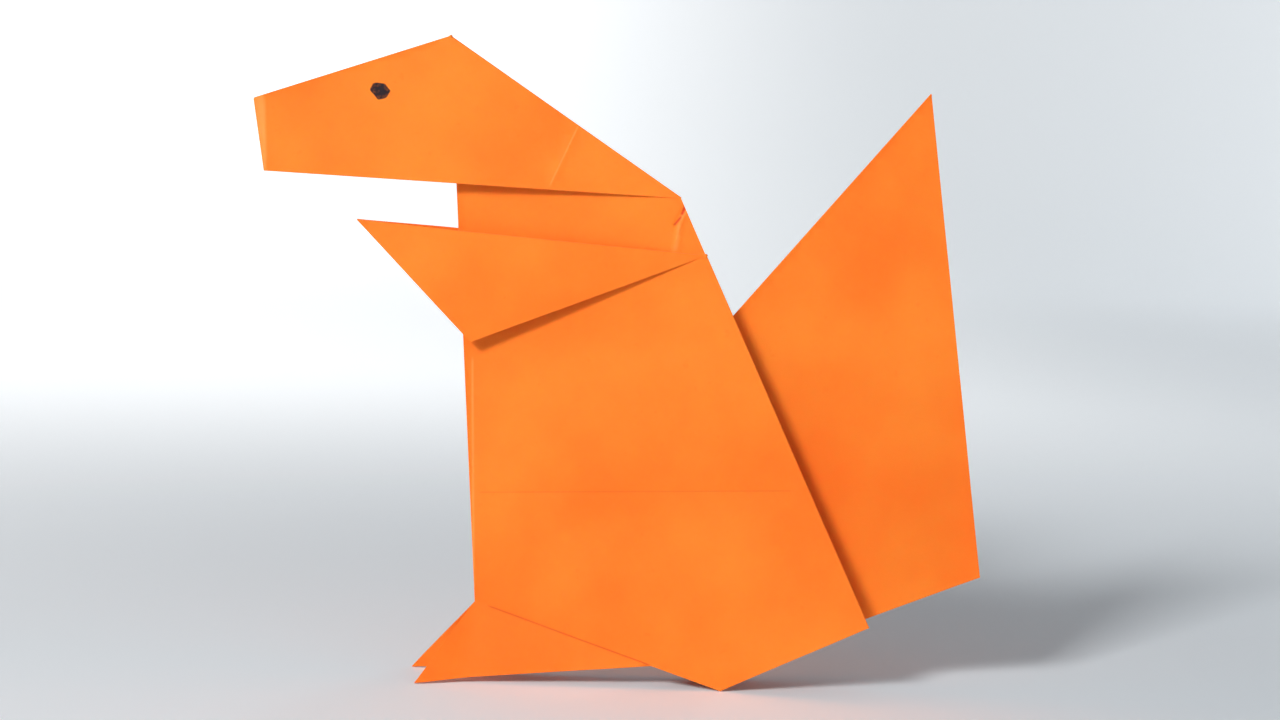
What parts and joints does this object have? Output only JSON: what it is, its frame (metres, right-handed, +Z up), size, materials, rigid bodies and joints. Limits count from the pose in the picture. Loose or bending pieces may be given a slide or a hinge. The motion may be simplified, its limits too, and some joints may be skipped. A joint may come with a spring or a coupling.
{
  "type": "origami squirrel",
  "caption": "Squirrel folded from one square sheet of paper, standing on its feet and keel, with arms, snout and a raised pleated tail.",
  "frame": {"origin": "on the surface that it stands on, under the middle of its box", "axes": "+Z up, -X towards the snout, +X towards the tail, Y across the mirrored halves"},
  "size_m": [0.1132, 0.0156, 0.0965],
  "materials": {
    "orange_paper": "matt folded craft paper, with an ink dot for each eye"
  },
  "bodies": {
    "root": {"folded_sheet": "orange_paper"}
  },
  "joints": []
}
